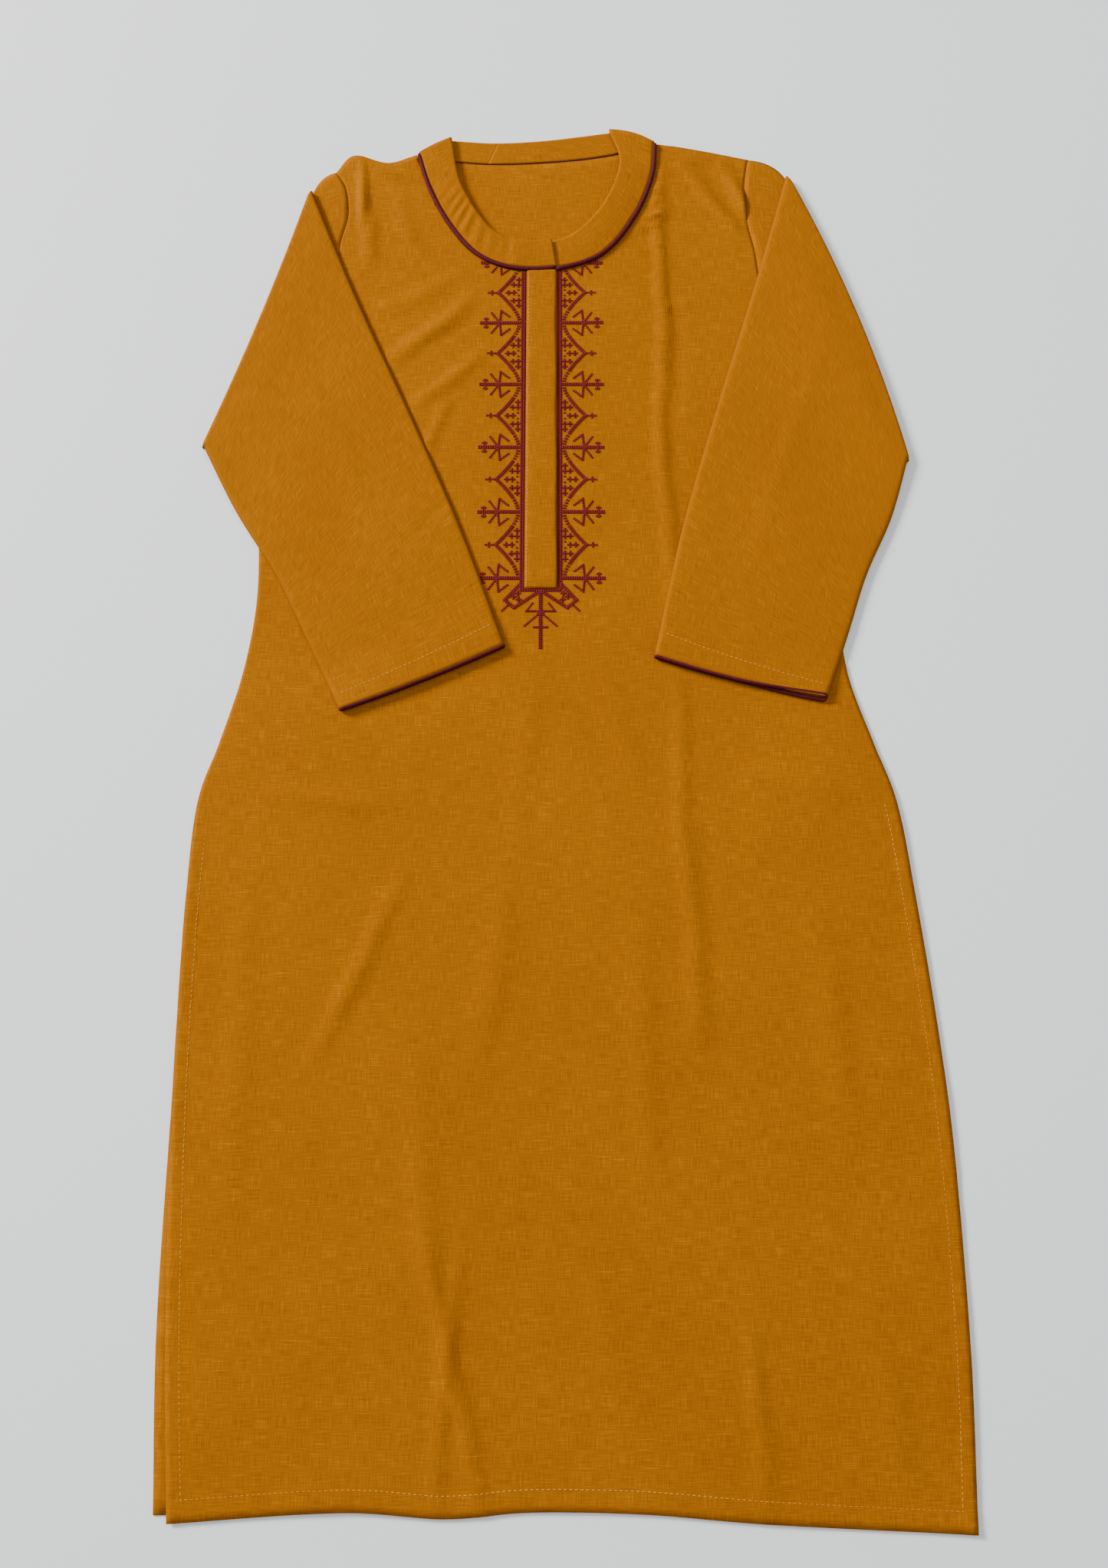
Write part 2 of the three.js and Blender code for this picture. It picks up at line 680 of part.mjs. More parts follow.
function strip(sections, level) {
  const at = (height) =>
    sections.map(({ y, left, right }) => [vector(left, y, height), vector((left + right) / 2, y, height), vector(right, y, height)]);
  return wallBetween(at(level), at(level + clothWall));
}

// ---- The garment --------------------------------------------------------------------------

const tunic = new THREE.Group();

function addPiece(name, geometry, material) {
  const mesh = new THREE.Mesh(geometry, material);
  mesh.name = name;
  tunic.add(mesh);
}

addPiece('back_panel', backPanel(), mustard);
addPiece('front_panel', frontPanel(), mustard);
addPiece('sleeve_left', sleeveWall(leftSleeve), mustard);
addPiece('sleeve_right', sleeveWall(rightSleeve), mustard);
addPiece('cuff_piping_left', cuffPiping(leftSleeve), maroon);
addPiece('cuff_piping_right', cuffPiping(rightSleeve), maroon);
addPiece('neck_band_left', bandHalf(tabEnd, 0, leftBandRise, centreBack - shareGap, 1), mustard);
addPiece('neck_band_right', bandHalf(underTabEnd, 1, rightBandRise, centreBack + shareGap, -1), mustard);
addPiece('neck_piping_left', frontPiping(2 * shareGap, pipingJoin - shareGap), maroon);
addPiece('neck_piping_right', frontPiping(pipingJoin + shareGap, 1 - 2 * shareGap), maroon);
addPiece('neck_piping_back', backPiping(), maroon);
addPiece('placket_underlap', strip(underlapSections, underlapLevel), mustard);
addPiece('placket', strip(placketSections, placketLevel), mustard);

export default tunic;
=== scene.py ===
"""A kurta tunic laid flat with its sleeves folded over the front.

Cloth shells, cords, seam stitches and cross stitch stand in for the CAD nodes, in millimetres until the
mesh is made. "Left" and "right" are as seen from above.
"""
import math

import bpy
import numpy as np
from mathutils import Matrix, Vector


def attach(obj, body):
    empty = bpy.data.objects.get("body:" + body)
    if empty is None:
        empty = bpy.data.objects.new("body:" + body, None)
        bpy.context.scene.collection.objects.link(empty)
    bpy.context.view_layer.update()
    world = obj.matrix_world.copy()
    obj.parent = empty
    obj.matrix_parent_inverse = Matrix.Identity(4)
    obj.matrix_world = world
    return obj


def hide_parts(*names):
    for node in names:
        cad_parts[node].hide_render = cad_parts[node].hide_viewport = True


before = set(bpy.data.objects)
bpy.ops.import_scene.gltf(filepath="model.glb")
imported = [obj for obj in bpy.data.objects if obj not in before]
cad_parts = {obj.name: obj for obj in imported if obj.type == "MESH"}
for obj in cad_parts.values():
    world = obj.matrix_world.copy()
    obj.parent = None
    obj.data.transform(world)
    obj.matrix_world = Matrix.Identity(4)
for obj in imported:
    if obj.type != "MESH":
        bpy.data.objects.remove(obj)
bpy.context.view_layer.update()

MM = 0.001
rng = np.random.default_rng(7)

# ---- Levels and sizes, in millimetres, close to the CAD's ------------------------------------
CLOTH = 0.8                 # thickness of a visible cloth shell
BACK_MIDDLE = 0.5
FRONT_MIDDLE = 1.8
UNDERLAP_MIDDLE = 3.0
PLACKET_MIDDLE = 3.9
SLEEVE_MIDDLE = 1.15        # middle of the flattened sleeve before it is folded
SLEEVE_HALF = 0.7           # from its middle to either layer
SLEEVE_FOLD_RADIUS = 2.2
SLEEVE_REST = 3.0           # underside of the folded sleeve
CUFF_HALF = 1.9
PIPING_RADIUS = 1.8
CUFF_PIPING_RADIUS = 1.35
BAND_FOLD_RADIUS = 2.2
TAB_END, UNDER_TAB_END, CENTRE_BACK = 0.53, 0.43, 0.29
HEM_DEPTH, SLIT_DEPTH = 14.5, 10.0
SLIT_TOP = -45.0
CUFF_STITCH = 0.955         # share of the folded sleeve where the cuff is stitched

# ---- Outlines, repeated from the part --------------------------------------------------------
BODY = [  # height, front left, back left, right
    (-440, -279, -286, 296.5), (-280, -285, -286, 293), (-120, -285, -285, 278),
    (-42, -280, -280, 267), (0, -267, -267, 253), (60, -251, -251, 235),
    (125, -243, -243, 231), (200, -246, -246, 238),
]
UNDERARM_LEFT, UNDERARM_RIGHT = (-252, 275), (250, 271)
FRONT_HEM = [(-270, -559), (-143, -552), (-75, -556), (-20, -552), (60, -553), (142, -559), (293, -566)]
BACK_HEM = [(-280, -554), (-140, -550), (0, -550), (142, -556), (291, -563)]
LEFT_ARMHOLE = [(-194, 524), (-185, 508), (-182, 478), (-187, 453), (-190, 420), (-198, 370), (-217, 312),
                UNDERARM_LEFT]
RIGHT_ARMHOLE = [(171, 537), (167, 508), (167.5, 480), (174, 445), (178, 410), (187, 362), (208, 308),
                 UNDERARM_RIGHT]
LEFT_SHOULDER = [(-194, 524), (-180, 541), (-148, 534), (-123, 542)]
RIGHT_SHOULDER = [(91, 553), (125, 547), (171, 537)]
FRONT_NECK = [(-121, 541), (-110, 505), (-92, 470), (-68, 441.5), (-40, 428.5), (0, 427.5), (40, 441),
              (70, 479.5), (86, 521), (89, 552)]
BAND_EDGE = [(-92, 557), (-83, 511), (-57, 467), (-38, 456), (0, 455.5), (20, 465), (44, 494), (57, 534),
             (48, 565)]
BACK_NECK = [(-120, 540), (-88, 535), (-54, 532.5), (0, 535), (40, 540), (88, 551)]
BACK_BAND_EDGE = [(-92, 557), (-54, 554.5), (-10, 557), (48, 565)]
# How high each band half stands at its seam and its free edge, by share of the way round the neck.
LEFT_BAND_RISE = [
    (0, 4.9, 4.9), (0.12, 2.8, 5.2), (0.3, 2.4, 5.0),
    (0.405, 2.9, 3.9), (0.42, 3.7, 4.9), (0.53, 3.6, 4.5),
]
RIGHT_BAND_RISE = [(0.43, 1.8, 1.8), (0.53, 1.8, 2.0), (0.7, 2.4, 4.6), (0.88, 2.8, 5.2), (1, 4.9, 4.9)]
SLEEVES = {
    "left": dict(side=-1, armhole=LEFT_ARMHOLE, cap=(-206, 517),
                 top=[(-214, 502), (-171, 397), (-122, 287), (-77, 181), (-41, 82)],
                 under=[(-293.5, 256), (-264, 199), (-228, 142), (-199, 84), (-172, 28)],
                 bow=[-3, -1, 0, 0, -2]),
    "right": dict(side=1, armhole=RIGHT_ARMHOLE, cap=(191, 531),
                  top=[(204, 517), (172, 407), (138, 297), (105.5, 185), (80, 73)],
                  under=[(293.5, 244), (277.5, 193), (254, 142), (236, 90), (217, 38)],
                  bow=[8, 3, 0, -1, -3]),
}
PLACKET_Y = (131.5, 425)
PLACKET_LEFT, PLACKET_RIGHT = (-25.2, -24.3), (1.2, 0.4)

DEEPEST_DIP = 0.3     # so that the front stays clear of the back
CREASE_GAIN = 1.25    # times each crease's rise
CREASE_WIDTH = 0.72   # times each crease's half width

# Creases of the front: from, to, half width, rise (negative for a trough).
CREASES = [
    ((91, 535), (92, 330), 15, 1.5),
    ((90, 360), (95, 120), 14, 1.5),
    ((103, 500), (106, 150), 12, -0.4),
    ((97, 60), (101, -90), 16, 1.0),
    ((101, -60), (108, -235), 18, 1.3),
    ((119, -40), (124, -220), 12, -0.3),
    ((-72, 396), (-140, 338), 17, 2.2),
    ((-60, 345), (-118, 296), 13, 1.7),
    ((-90, 300), (-112, 250), 12, 1.2),
    ((-84, 420), (-150, 385), 15, 1.0),
    ((-152, 520), (-168, 470), 12, -0.6),
    ((-172, 535), (-170, 470), 9, 2.6),
    ((-168, 500), (-160, 430), 16, 1.6),
    ((-160, 528), (-128, 520), 9, 1.8),
    ((-140, 500), (-120, 440), 18, 0.9),
    ((126, 537), (150, 508), 7, -0.5),
    ((134, 526), (176, 452), 7, -0.6),
    ((146, 530), (184, 455), 12, 2.8),
    ((112, 532), (158, 462), 13, 2.0),
    ((100, 540), (140, 533), 9, 1.8),
    ((140, 528), (150, 526), 6, 1.4),
    ((72, 473), (104, 486), 7, 1.3),
    ((66, 464), (92, 470), 6, 0.9),
    ((109, 489), (123, 489), 4, 0.9),
    ((92, 386), (128, 397), 6, 1.0),
    ((126, 413), (166, 405), 7, 0.8),
    ((-222, -36), (-132, -52), 14, 1.4),
    ((-150, -30), (-120, -62), 10, 0.8),
    ((150, -20), (240, -42), 14, 1.0),
    ((-120, -110), (-182, -245), 18, 1.5),
    ((-105, -250), (-90, -420), 24, 0.9),
    ((-40, -95), (-58, -250), 22, 0.7),
    ((-98, -370), (-52, -545), 15, 1.9),
    ((-70, -380), (-86, -545), 13, 1.2),
    ((140, -430), (148, -552), 16, 1.2),
    ((60, -130), (70, -330), 26, 0.8),
    ((200, -120), (215, -320), 28, 0.8),
    ((-235, -120), (-240, -360), 24, 0.8),
    ((20, -380), (60, -500), 30, 0.7),
    ((220, -420), (250, -540), 24, 0.7),
    ((-200, 40), (-150, -10), 24, 0.8),
    ((40, 60), (70, -40), 24, 0.7),
    ((-20, 60), (-30, -60), 20, 0.6),
]


# ---- Curves and nets ------------------------------------------------------------------------
def curve(points, steps):
    """Evenly spaced points on a smooth curve through the given ones."""
    p = np.asarray(points, float)
    t = np.concatenate([[0], np.cumsum(np.linalg.norm(np.diff(p, axis=0), axis=1) ** 0.5)])
    m = np.gradient(p, t, axis=0)
    fine = np.linspace(0, t[-1], 900)
    k = np.clip(np.searchsorted(t, fine, side="right") - 1, 0, len(t) - 2)
    h = (t[k + 1] - t[k])[:, None]
    s = ((fine - t[k])[:, None]) / h
    q = ((2 * s**3 - 3 * s**2 + 1) * p[k] + (s**3 - 2 * s**2 + s) * h * m[k]
         + (3 * s**2 - 2 * s**3) * p[k + 1] + (s**3 - s**2) * h * m[k + 1])
    length = np.concatenate([[0], np.cumsum(np.linalg.norm(np.diff(q, axis=0), axis=1))])
    even = np.linspace(0, length[-1], steps + 1)
    return np.stack([np.interp(even, length, q[:, i]) for i in range(q.shape[1])], axis=1)


def at_share(line, share):
    """Points at shares of the way along a line of evenly spaced points."""
    place = np.asarray(share, float) * (len(line) - 1)
    index = np.arange(len(line))
    return np.stack([np.interp(place, index, line[:, i]) for i in range(line.shape[1])], axis=-1)


def moved_left(line, distance):
    along = np.gradient(line, axis=0)
    along /= np.linalg.norm(along, axis=1)[:, None]
    return line + distance * np.stack([-along[:, 1], along[:, 0]], axis=1)


def smoothstep(x, low, high):
    s = np.clip((np.asarray(x, float) - low) / (high - low), 0, 1)
    return s * s * (3 - 2 * s)


def away_from(points, line):
    """Distance of each point from a line of points."""
    a, b = line[:-1], line[1:]
    d = b - a
    best = np.full(len(points), 1e9)
    for start, along in zip(a, d):
        share = np.clip(((points - start) @ along) / max(along @ along, 1e-9), 0, 1)
        best = np.minimum(best, np.linalg.norm(points - start - share[:, None] * along, axis=1))
    return best


def soft_noise(x, y, size, seed):
    """A smooth uneven field of about plus or minus one, from a few seeded waves."""
    waves = np.random.default_rng(seed)
    total = np.zeros_like(x)
    for _ in range(9):
        angle, phase = waves.uniform(0, 2 * math.pi, 2)
        reach = size * waves.uniform(0.6, 1.7)
        total += np.sin((x * math.cos(angle) + y * math.sin(angle)) * 2 * math.pi / reach + phase)
    return total / 3.5


def coons(hem, top, left, right):
    """A net blended from four edges; hem and top run to the right, the sides run up."""
    v = np.linspace(0, 1, len(left))[:, None, None]
    u = np.linspace(0, 1, len(hem))[None, :, None]
    sides = (1 - u) * left[:, None] + u * right[:, None]
    ends = (1 - v) * hem[None] + v * top[None]
    corners = (1 - v) * ((1 - u) * hem[0] + u * hem[-1]) + v * ((1 - u) * top[0] + u * top[-1])
    return sides + ends - corners


# ---- Meshes ---------------------------------------------------------------------------------
def new_piece(name, vertices, faces, material, uv=None, smooth=True):
    mesh = bpy.data.meshes.new(name)
    mesh.from_pydata((np.asarray(vertices) * MM).tolist(), [], [tuple(f) for f in faces])
    mesh.polygons.foreach_set("use_smooth", [smooth] * len(mesh.polygons))
    if uv is not None:
        layer = mesh.uv_layers.new(name="cloth")
        corner = np.empty(len(mesh.loops), dtype=np.int64)
        mesh.loops.foreach_get("vertex_index", corner)
        layer.data.foreach_set("uv", (np.asarray(uv)[corner] * MM).ravel())
    mesh.materials.append(material)
    mesh.update()
    piece = bpy.data.objects.new(name, mesh)
    bpy.context.scene.collection.objects.link(piece)
    return piece


def net_faces(rows, columns, around=False):
    i, j = np.meshgrid(np.arange(rows - 1), np.arange(columns if around else columns - 1), indexing="ij")
    k = (j + 1) % columns
    return np.stack([i * columns + j, i * columns + k, (i + 1) * columns + k, (i + 1) * columns + j],
                    axis=-1).reshape(-1, 4)


def thicken(piece, thickness=CLOTH):
    solid = piece.modifiers.new("cloth thickness", "SOLIDIFY")
    solid.thickness = thickness * MM
    solid.offset = 0
    return piece


def cloth_net(name, net, uv, material, thickness=CLOTH, around=False):
    rows, columns = net.shape[:2]
    faces = net_faces(rows, columns, around)
    return thicken(new_piece(name, net.reshape(-1, 3), faces, material, uv.reshape(-1, 2)), thickness)


def tube_piece(name, line, radius, material, closed=False, sides=10, toward=(0, 0, 1), tapered=False):
    """A round cord along a line, its rings square to it."""
    line = np.asarray(line, float)
    if closed:
        along = np.roll(line, -1, axis=0) - np.roll(line, 1, axis=0)
    else:
        along = np.gradient(line, axis=0)
    along /= np.linalg.norm(along, axis=1)[:, None]
    side = np.cross(along, np.asarray(toward, float))
    side /= np.linalg.norm(side, axis=1)[:, None]
    up = np.cross(side, along)
    size = np.full(len(line), float(radius))
    if tapered:
        size[[0, -1]] *= 0.55
    angle = np.linspace(0, 2 * math.pi, sides, endpoint=False)
    ring = (np.cos(angle)[None, :, None] * side[:, None] + np.sin(angle)[None, :, None] * up[:, None])
    points = (line[:, None] + ring * size[:, None, None]).reshape(-1, 3)
    count = len(line)
    faces = net_faces(count, sides, True).tolist()
    if closed:
        last = (count - 1) * sides
        faces += [[last + j, last + (j + 1) % sides, (j + 1) % sides, j] for j in range(sides)]
    else:
        faces += [list(range(sides))[::-1], [(count - 1) * sides + j for j in range(sides)]]
    return new_piece(name, points, faces, material)


class Threads:
    """Many short thread stitches gathered into one mesh, each a slim spindle."""

    def __init__(self):
        self.points, self.faces = [], []

    def add(self, start, end, radius):
        start, end = np.asarray(start, float), np.asarray(end, float)
        along = (end - start) / np.linalg.norm(end - start)
        side = np.cross(along, (0, 0, 1)) * radius
        up = np.array([0, 0, radius])
        low, high = start + 0.22 * (end - start), start + 0.78 * (end - start)
        base = len(self.points)
        self.points += [start, end]
        for centre in (low, high):
            self.points += [centre + side, centre + up, centre - side, centre - up * 0.6]
        for k in range(4):
            n = (k + 1) % 4
            self.faces += [[base, base + 2 + n, base + 2 + k], [base + 1, base + 6 + k, base + 6 + n],
                           [base + 2 + k, base + 2 + n, base + 6 + n, base + 6 + k]]

    def run(self, line, stitch=2.7, gap=1.2, radius=0.28):
        """Running stitch along a line of points."""
        length = np.concatenate([[0], np.cumsum(np.linalg.norm(np.diff(line, axis=0), axis=1))])
        place = gap
        while place + stitch < length[-1]:
            ends = [[np.interp(s, length, line[:, i]) for i in range(3)] for s in (place, place + stitch)]
            self.add(ends[0], ends[1], radius)
            place += stitch + gap

    def piece(self, name, material):
        return new_piece(name, self.points, self.faces, material)


# ---- Materials ------------------------------------------------------------------------------
def node_material(name):
    material = bpy.data.materials.new(name)
    material.use_nodes = True
    tree = material.node_tree
    return material, tree, tree.nodes["Principled BSDF"]


def cloth_material(name, dark, middle, light, sheen=0.03):
    """Plain weave with slubs both ways, read from each piece's own cut-plane map in metres."""
    material, tree, shader = node_material(name)
    make, link = tree.nodes.new, tree.links.new
    place = make("ShaderNodeTexCoord")

    def noise(scale, detail=2.0, rough=0.5):
        mapping = make("ShaderNodeMapping")
        mapping.inputs["Scale"].default_value = scale
        link(place.outputs["UV"], mapping.inputs["Vector"])
        texture = make("ShaderNodeTexNoise")
        texture.inputs["Scale"].default_value = 1.0
        texture.inputs["Detail"].default_value = detail
        texture.inputs["Roughness"].default_value = rough
        link(mapping.outputs["Vector"], texture.inputs["Vector"])
        return texture.outputs["Fac"]

    def math_node(kind, a, b):
        node = make("ShaderNodeMath")
        node.operation = kind
        for socket, value in zip(node.inputs, (a, b)):
            if isinstance(value, (int, float)):
                socket.default_value = value
            else:
                link(value, socket)
        return node.outputs[0]

    weft = noise((70, 1700, 1))
    warp = noise((1700, 80, 1))
    slub = noise((40, 900, 1), 1.0)
    mottle = noise((9, 7, 1), 3.0)
    threads = math_node("ADD", math_node("MULTIPLY", weft, 0.5), math_node("MULTIPLY", warp, 0.5))
    slubs = math_node("MAXIMUM", math_node("SUBTRACT", slub, 0.66), 0.0)
    tone = math_node("ADD", math_node("MULTIPLY", threads, 0.88), math_node("MULTIPLY", mottle, 0.12))
    tone = math_node("ADD", tone, math_node("MULTIPLY", slubs, 1.3))
    ramp = make("ShaderNodeValToRGB")
    ramp.color_ramp.elements[0].position = 0.33
    ramp.color_ramp.elements[0].color = (*dark, 1)
    ramp.color_ramp.elements[1].position = 0.72
    ramp.color_ramp.elements[1].color = (*light, 1)
    centre = ramp.color_ramp.elements.new(0.5)
    centre.color = (*middle, 1)
    link(tone, ramp.inputs["Fac"])
    link(ramp.outputs["Color"], shader.inputs["Base Color"])
    bump = make("ShaderNodeBump")
    bump.inputs["Strength"].default_value = 0.55
    bump.inputs["Distance"].default_value = 0.0004
    link(math_node("ADD", threads, math_node("MULTIPLY", slubs, 2.0)), bump.inputs["Height"])
    link(bump.outputs["Normal"], shader.inputs["Normal"])
    shader.inputs["Roughness"].default_value = 0.82
    shader.inputs["Specular IOR Level"].default_value = 0.04
    shader.inputs["Sheen Weight"].default_value = sheen
    shader.inputs["Sheen Roughness"].default_value = 0.45
    shader.inputs["Sheen Tint"].default_value = (1.0, 0.5, 0.06, 1)
    return material


def thread_material(name, low, high, scale=900, roughness=0.7, sheen=0.0):
    """Spun thread: two tones and a fine bump, by place on the object."""
    material, tree, shader = node_material(name)
    make, link = tree.nodes.new, tree.links.new
    place = make("ShaderNodeTexCoord")
    texture = make("ShaderNodeTexNoise")
    texture.inputs["Scale"].default_value = scale
    texture.inputs["Detail"].default_value = 2.0
    link(place.outputs["Object"], texture.inputs["Vector"])
    ramp = make("ShaderNodeValToRGB")
    ramp.color_ramp.elements[0].position = 0.35
    ramp.color_ramp.elements[0].color = (*low, 1)
    ramp.color_ramp.elements[1].position = 0.68
    ramp.color_ramp.elements[1].color = (*high, 1)
    link(texture.outputs["Fac"], ramp.inputs["Fac"])
    link(ramp.outputs["Color"], shader.inputs["Base Color"])
    bump = make("ShaderNodeBump")
    bump.inputs["Strength"].default_value = 0.4
    bump.inputs["Distance"].default_value = 0.0003
    link(texture.outputs["Fac"], bump.inputs["Height"])
    link(bump.outputs["Normal"], shader.inputs["Normal"])
    shader.inputs["Roughness"].default_value = roughness
    shader.inputs["Specular IOR Level"].default_value = 0.12
    shader.inputs["Sheen Weight"].default_value = sheen
    return material


mustard = cloth_material(
    "mustard slub cotton", dark=(0.230, 0.068, 0.0), middle=(0.315, 0.097, 0.0), light=(0.47, 0.168, 0.001)
)
seam_thread = thread_material("mustard sewing thread", (0.60, 0.27, 0.03), (0.85, 0.45, 0.10))
cord_cloth = thread_material("maroon piping cloth", (0.050, 0.0035, 0.008), (0.115, 0.008, 0.017), 1100, 0.75)
floss = thread_material("maroon embroidery thread", (0.12, 0.007, 0.009), (0.24, 0.016, 0.018), 1400, 0.55)


# ---- Camera, floor and light ------------------------------------------------------------------
def add_camera():
    data = bpy.data.cameras.new("camera")
    data.lens = 29
    data.sensor_width = 36
    camera = bpy.data.objects.new("camera", data)
    camera.location = (-0.001, -0.256, 0.971)
    camera.rotation_euler = (math.radians(13), 0, 0)
    bpy.context.scene.collection.objects.link(camera)
    bpy.context.scene.camera = camera


def add_floor():
    material, tree, shader = node_material("pale floor")
    noise = tree.nodes.new("ShaderNodeTexNoise")
    noise.inputs["Scale"].default_value = 3.0
    ramp = tree.nodes.new("ShaderNodeValToRGB")
    ramp.color_ramp.elements[0].color = (0.87, 0.88, 0.88, 1)
    ramp.color_ramp.elements[1].color = (0.91, 0.92, 0.92, 1)
    tree.links.new(noise.outputs["Fac"], ramp.inputs["Fac"])
    tree.links.new(ramp.outputs["Color"], shader.inputs["Base Color"])
    shader.inputs["Roughness"].default_value = 0.7
    half = 6000
    corners = [(-half, -half, 0), (half, -half, 0), (half, half, 0), (-half, half, 0)]
    new_piece("floor", corners, [(0, 1, 2, 3)], material, smooth=False)


def add_light(name, place, size, power, colour=(1, 1, 1)):
    data = bpy.data.lights.new(name, "AREA")
    data.size = size
    data.energy = power
    data.color = colour
    light = bpy.data.objects.new(name, data)
    light.location = place
    light.rotation_euler = (Vector((0, 0, 0)) - Vector(place)).to_track_quat("-Z", "Y").to_euler()
    bpy.context.scene.collection.objects.link(light)


add_camera()
add_floor()
add_light("window", (-4.4, 2.6, 2.5), 1.5, 630, (1.0, 0.99, 0.97))
add_light("sky", (0.6, 0.2, 2.6), 2.4, 29, (0.96, 0.98, 1.0))
world = bpy.data.worlds.new("soft room")
world.use_nodes = True
world.node_tree.nodes["Background"].inputs["Color"].default_value = (0.90, 0.94, 1.0, 1)
world.node_tree.nodes["Background"].inputs["Strength"].default_value = 0.47
bpy.context.scene.world = world

# ---- The front's surface ----------------------------------------------------------------------
front_neck_line = curve(FRONT_NECK, 120)
back_neck_line = curve(BACK_NECK, 90)


def sleeve_depth(x, y):
    """How far inside a folded sleeve's outline a place is, in millimetres; negative outside."""
    deepest = np.full_like(x, -1e9)
    for sleeve in SLEEVES.values():
        top, under = sleeve["top"], sleeve["under"]
        corners = np.array([top[0], top[-1], under[-1], under[0]], float)
        inside = np.full_like(x, 1e9)
        for a, b in zip(corners, np.roll(corners, -1, axis=0)):
            normal = np.array([-(b - a)[1], (b - a)[0]]) / np.linalg.norm(b - a)
            inside = np.minimum(inside, -sleeve["side"] * ((x - a[0]) * normal[0] + (y - a[1]) * normal[1]))
        deepest = np.maximum(deepest, inside)
    return deepest


def front_rise(x, y):
    """How far the creases and the slack of the cloth lift the front."""
    rise = np.zeros_like(x)
    bend = 2.5 * soft_noise(x, y, 90, 3)
    for (x0, y0), (x1, y1), reach, height in CREASES:
        width = CREASE_WIDTH * reach
        dx, dy = x1 - x0, y1 - y0
        length = math.hypot(dx, dy)
        share = ((x - x0) * dx + (y - y0) * dy) / length**2
        aside = ((x - x0) * dy - (y - y0) * dx) / length + bend * min(1, length / 90)
        across = np.where(np.abs(aside) < width, 0.5 + 0.5 * np.cos(math.pi * aside / width), 0)
        end = np.sin(math.pi * np.clip((share + 0.1) / 1.2, 0, 1)) ** 0.8
        rise += CREASE_GAIN * height * across * end
    rise += 0.45 * np.maximum(soft_noise(x, y, 120, 11), -0.4) + 0.12 * soft_noise(x, y, 32, 12)
    neck = away_from(np.stack([x.ravel(), y.ravel()], axis=1), front_neck_line).reshape(x.shape)
    angle = np.arctan2(y - 490, x + 15)
    gathers = np.sin(angle * 46) * np.exp(-neck / 14) * smoothstep(angle, -0.5, 0.1)
    rise += 0.9 * np.maximum(gathers, -0.3)
    clear = 1 - smoothstep(sleeve_depth(x, y), -15, -5)
    placket = smoothstep(np.abs(x + 12), 16, 44) + smoothstep(-y, -95, -60)
    settled = rise * clear * np.clip(placket, 0, 1) * smoothstep(neck, 1.5, 9)
    return np.maximum(settled, -DEEPEST_DIP)


def front_top(x, y, lift=0.0):
    """A point on the outer face of the front, or the given distance above it."""
    x, y = np.asarray(x, float), np.asarray(y, float)
    return np.stack([x, y, FRONT_MIDDLE + CLOTH / 2 + lift + front_rise(x, y)], axis=-1)


def side_line(corner, column, end, armhole, steps, arm_steps):
    seam = curve([corner] + [(row[column], row[0]) for row in BODY] + [end], steps)
    return np.concatenate([seam[:-1], curve(armhole, arm_steps)[::-1]])


def panel_net(hem, column, neck, columns, shoulder, steps, arm_steps):
    hem_line = curve(hem, columns)
    neck_steps = columns - 2 * shoulder
    neck_edge = at_share(neck, np.linspace(0, 1, neck_steps + 1))[1:-1]
    top = np.concatenate([curve(LEFT_SHOULDER, shoulder), neck_edge, curve(RIGHT_SHOULDER, shoulder)])
    left = side_line(hem[0], column, UNDERARM_LEFT, LEFT_ARMHOLE, steps, arm_steps)
    right = side_line(hem[-1], 3, UNDERARM_RIGHT, RIGHT_ARMHOLE, steps, arm_steps)
    return coons(hem_line, top, left, right)


def turned_edge(net, hem, column, folded=0.32):
    """Extra height where hem and slits are turned in, with the stitch line pulled down."""
    points = net.reshape(-1, 2)
    hem_away = away_from(points, curve(hem, 60))
    rise = folded * (1 - smoothstep(hem_away, HEM_DEPTH - 1.2, HEM_DEPTH + 0.6))
    rise -= 0.35 * np.exp(-(((hem_away - HEM_DEPTH) / 1.3) ** 2))
    for corner, which in ((hem[0], column), (hem[-1], 3)):
        edge = curve([corner] + [(row[which], row[0]) for row in BODY[:4]], 60)
        slit = smoothstep(-points[:, 1], -SLIT_TOP - 6, -SLIT_TOP + 6)
        edge_away = away_from(points, edge)
        rise += slit * folded * (1 - smoothstep(edge_away, SLIT_DEPTH - 1, SLIT_DEPTH + 0.6))
        rise -= slit * 0.35 * np.exp(-(((edge_away - SLIT_DEPTH) / 1.2) ** 2))
    return rise.reshape(net.shape[:2])


def make_front():
    neck = moved_left(front_neck_line, -(PIPING_RADIUS - 0.5))
    net = panel_net(FRONT_HEM, 1, neck, 150, 28, 150, 56)
    x, y = net[..., 0], net[..., 1]
    height = front_rise(x, y) + turned_edge(net, FRONT_HEM, 1)
    height = FRONT_MIDDLE + np.maximum(height, -DEEPEST_DIP)
    piece = cloth_net("front_cloth", np.dstack([net, height]), net, mustard)
    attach(piece, "root")
    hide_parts("front_panel")
    return piece


def make_back():
    net = panel_net(BACK_HEM, 2, back_neck_line, 96, 26, 80, 40)
    height = np.full(net.shape[:2], BACK_MIDDLE)
    height += 0.3 * turned_edge(net, BACK_HEM, 2)
    piece = cloth_net("back_cloth", np.dstack([net, height]), net, mustard)
    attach(piece, "root")
    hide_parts("back_panel")
    return piece


# ---- Sleeves --------------------------------------------------------------------------------
def sleeve_outward(top, under, side):
    along = (under - top) / np.linalg.norm(under - top)
    return -side * np.array([along[1], -along[0]])


